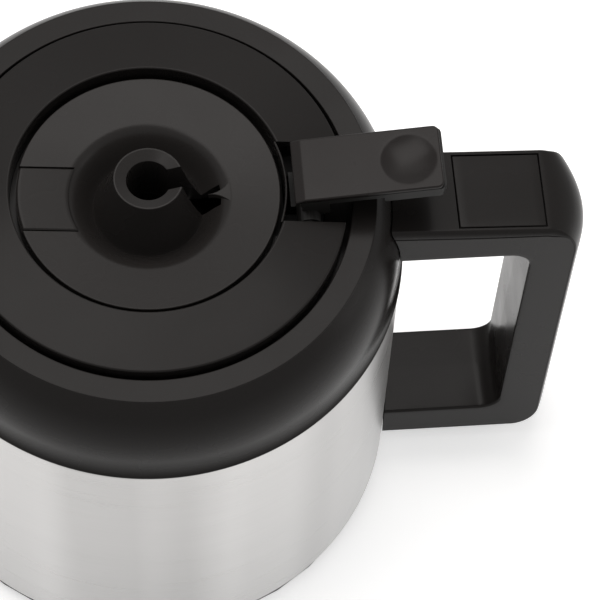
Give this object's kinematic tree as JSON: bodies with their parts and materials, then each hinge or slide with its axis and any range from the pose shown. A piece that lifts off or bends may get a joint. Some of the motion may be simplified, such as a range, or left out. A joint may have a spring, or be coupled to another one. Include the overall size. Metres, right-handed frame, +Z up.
{
  "type": "insulated coffee carafe",
  "caption": "Double-walled steel coffee carafe with a black moulded collar, loop handle, pour-through lid and thumb lever",
  "frame": {"origin": "the middle of the base pad's lower face, on the carafe's axis, where it stands", "axes": "+Z up along the carafe's axis, +X towards the handle, -X towards the spout, +Y completes a right-handed frame"},
  "size_m": [0.1834, 0.1342, 0.1408],
  "materials": {
    "wall_steel": "fine horizontal brushing with a satin sheen",
    "flask_steel": "plain drawn steel, smooth",
    "fastener_steel": "bright plated steel",
    "black_plastic": "moulded black plastic with a soft satin sheen",
    "lever_plastic": "moulded black plastic, a little smoother in the thumb dimple",
    "dark_plastic": "plain moulded black plastic",
    "soft_ring": "matt silicone rubber"
  },
  "bodies": {
    "carafe": {"outer_shell": "wall_steel", "inner_liner": "flask_steel", "shell_floor": "flask_steel", "vacuum_seal": "fastener_steel", "base_cap": "dark_plastic", "base_pad": "soft_ring", "collar": "black_plastic", "neck_clamp": "dark_plastic", "neck_gasket": "soft_ring", "handle_body": "black_plastic", "handle_panel": "black_plastic", "handle_top_screw": "fastener_steel", "handle_foot_screw": "fastener_steel", "handle_bracket": "flask_steel"},
    "lid": {"lid_ring": "black_plastic", "lid_disc": "black_plastic", "disc_inlay": "black_plastic", "lid_cup": "dark_plastic", "lid_gasket": "soft_ring", "lever_pin": "fastener_steel", "valve_spring": "fastener_steel"},
    "lever": {"lever_cap": "lever_plastic", "lever_arm": "lever_plastic"},
    "valve": {"pour_valve": "dark_plastic", "valve_seal": "soft_ring"}
  },
  "joints": [
    {"name": "lid_lift", "type": "slide", "parent": "carafe", "child": "lid", "axis": [0, 0, 1], "range_m": [0, 0.06]},
    {"name": "lever_press", "type": "hinge", "parent": "lid", "child": "lever", "pos_m": [0.04, 0, 0.1278], "axis": [0, 1, 0], "range_deg": [0, 10], "stiffness_Nm_per_rad": 0.3, "springref_deg": -8.59},
    {"name": "valve_lift", "type": "slide", "parent": "lid", "child": "valve", "axis": [0, 0, 1], "range_m": [0, 0.0059], "deforming": ["valve_spring"]}
  ],
  "couplings": [
    {"joint": "lever_press", "follows": "valve_lift", "rad_per_m": 29.4}
  ]
}
